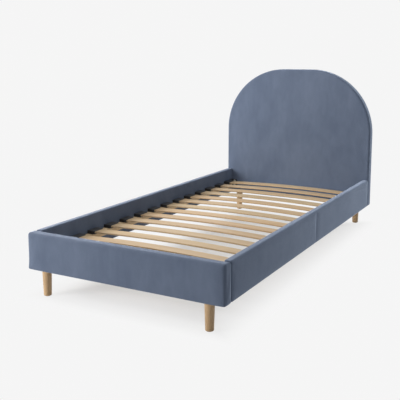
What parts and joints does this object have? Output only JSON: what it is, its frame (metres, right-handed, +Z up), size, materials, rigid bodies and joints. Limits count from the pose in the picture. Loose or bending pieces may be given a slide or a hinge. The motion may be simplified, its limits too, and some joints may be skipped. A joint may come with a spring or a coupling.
{
  "type": "bed frame",
  "caption": "Upholstered bed frame with an arched padded headboard, a low padded footboard and side rails, bowed slats in plastic holders and tapered round wooden legs.",
  "frame": {"origin": "on the floor, at the bottom centre of the bounding box", "axes": "+Z up, +Y along the length towards the headboard, +X to the right seen from the foot end"},
  "size_m": [0.98, 2.04, 0.965],
  "materials": {
    "velvet": "slate blue-grey short-pile velvet with a soft sheen",
    "padding_foam": "open-cell foam sheet",
    "pine": "planed bare pine",
    "plywood": "bare thin plywood",
    "back_cloth": "black spun-bonded dust cloth",
    "oak": "turned oak, matt clear lacquer",
    "birch": "bent birch laminate, sealed",
    "black_plastic": "moulded, fine texture",
    "black_steel": "black powder coat",
    "zinc_steel": "bright zinc plated"
  },
  "bodies": {
    "root": {"headboard_cover": "velvet", "footboard_cover": "velvet", "left_rail_cover": "velvet", "right_rail_cover": "velvet", "headboard_foam": "padding_foam", "footboard_foam": "padding_foam", "left_rail_foam": "padding_foam", "right_rail_foam": "padding_foam", "headboard_bottom_rail": "pine", "headboard_left_post": "pine", "headboard_right_post": "pine", "headboard_middle_rail": "pine", "headboard_middle_stile": "pine", "footboard_bottom_rail": "pine", "footboard_top_rail": "pine", "footboard_left_post": "pine", "footboard_right_post": "pine", "footboard_middle_stile": "pine", "left_rail_board": "pine", "left_ledger": "pine", "right_rail_board": "pine", "right_ledger": "pine", "headboard_face_board": "plywood", "headboard_arch_rib": "plywood", "footboard_face_board": "plywood", "footboard_back_board": "plywood", "headboard_back_cloth": "back_cloth", "front_left_leg": "oak", "front_right_leg": "oak", "rear_left_leg": "oak", "rear_right_leg": "oak", "slat_01": "birch", "slat_02": "birch", "slat_03": "birch", "slat_04": "birch", "slat_05": "birch", "slat_06": "birch", "slat_07": "birch", "slat_08": "birch", "slat_09": "birch", "slat_10": "birch", "slat_11": "birch", "slat_12": "birch", "slat_13": "birch", "slat_14": "birch", "left_slat_holders": "black_plastic", "right_slat_holders": "black_plastic", "leg_glides": "black_plastic", "front_left_bracket": "black_steel", "front_right_bracket": "black_steel", "rear_left_bracket": "black_steel", "rear_right_bracket": "black_steel", "leg_bolts": "zinc_steel", "board_bolts": "zinc_steel", "rail_bolts": "zinc_steel", "bolt_washers": "zinc_steel", "t_nuts": "zinc_steel", "ledger_screws": "zinc_steel"}
  },
  "joints": []
}
